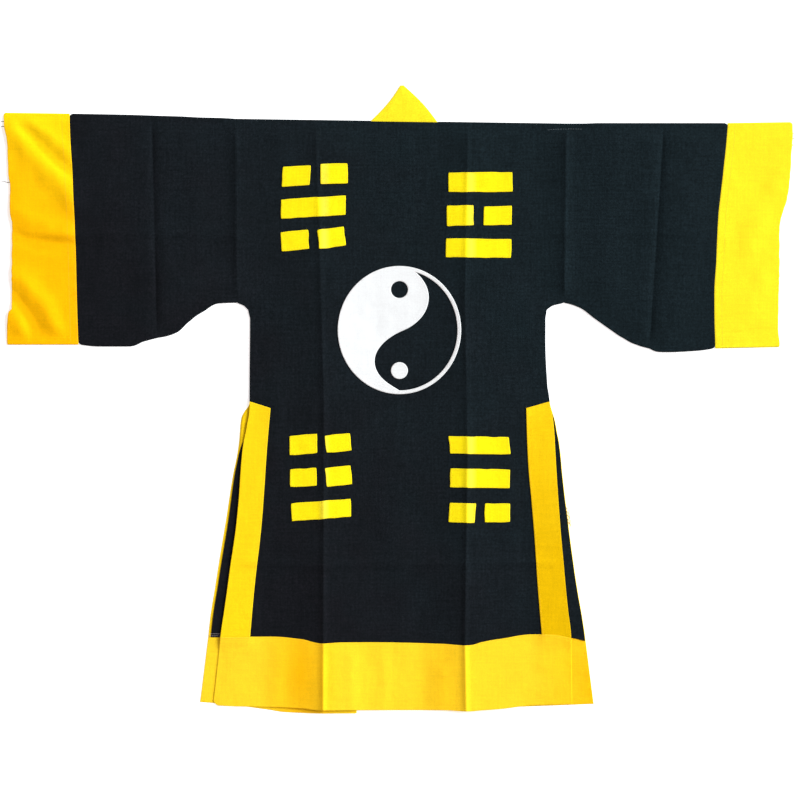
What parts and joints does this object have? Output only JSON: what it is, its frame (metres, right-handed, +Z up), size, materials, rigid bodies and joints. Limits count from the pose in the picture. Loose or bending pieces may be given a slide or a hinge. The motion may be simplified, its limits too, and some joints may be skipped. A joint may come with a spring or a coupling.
{
  "type": "taoist priest robe",
  "caption": "Black priest's robe with wide sleeves, yellow bands and trigram bars and a white taiji on the back, laid flat with its back up.",
  "frame": {"origin": "on the surface that the robe lies on, under the middle of its outline", "axes": "+X towards the wearer's right sleeve, +Y towards the collar, +Z up out of the back"},
  "size_m": [1.676, 1.3326, 0.0101],
  "materials": {
    "black_cloth": "matte",
    "yellow_cloth": "satin",
    "white_cloth": "satin"
  },
  "bodies": {
    "root": {"back_panel": "black_cloth", "front_panel_left": "black_cloth", "front_panel_right": "black_cloth", "sleeve_left": "black_cloth", "sleeve_right": "black_cloth", "cuff_left": "yellow_cloth", "cuff_right": "yellow_cloth", "collar_band": "yellow_cloth", "hem_back": "yellow_cloth", "hem_front_left": "yellow_cloth", "hem_front_right": "yellow_cloth", "slit_band_back_left": "yellow_cloth", "slit_band_back_right": "yellow_cloth", "slit_band_front_left": "yellow_cloth", "slit_band_front_right": "yellow_cloth", "bar_kan_1": "yellow_cloth", "bar_kan_2": "yellow_cloth", "bar_kan_3": "yellow_cloth", "bar_kan_4": "yellow_cloth", "bar_kan_5": "yellow_cloth", "bar_li_1": "yellow_cloth", "bar_li_2": "yellow_cloth", "bar_li_3": "yellow_cloth", "bar_li_4": "yellow_cloth", "bar_zhen_1": "yellow_cloth", "bar_zhen_2": "yellow_cloth", "bar_zhen_3": "yellow_cloth", "bar_zhen_4": "yellow_cloth", "bar_zhen_5": "yellow_cloth", "bar_xun_1": "yellow_cloth", "bar_xun_2": "yellow_cloth", "bar_xun_3": "yellow_cloth", "bar_xun_4": "yellow_cloth", "taiji_white": "white_cloth", "taiji_dot": "white_cloth"}
  },
  "joints": []
}
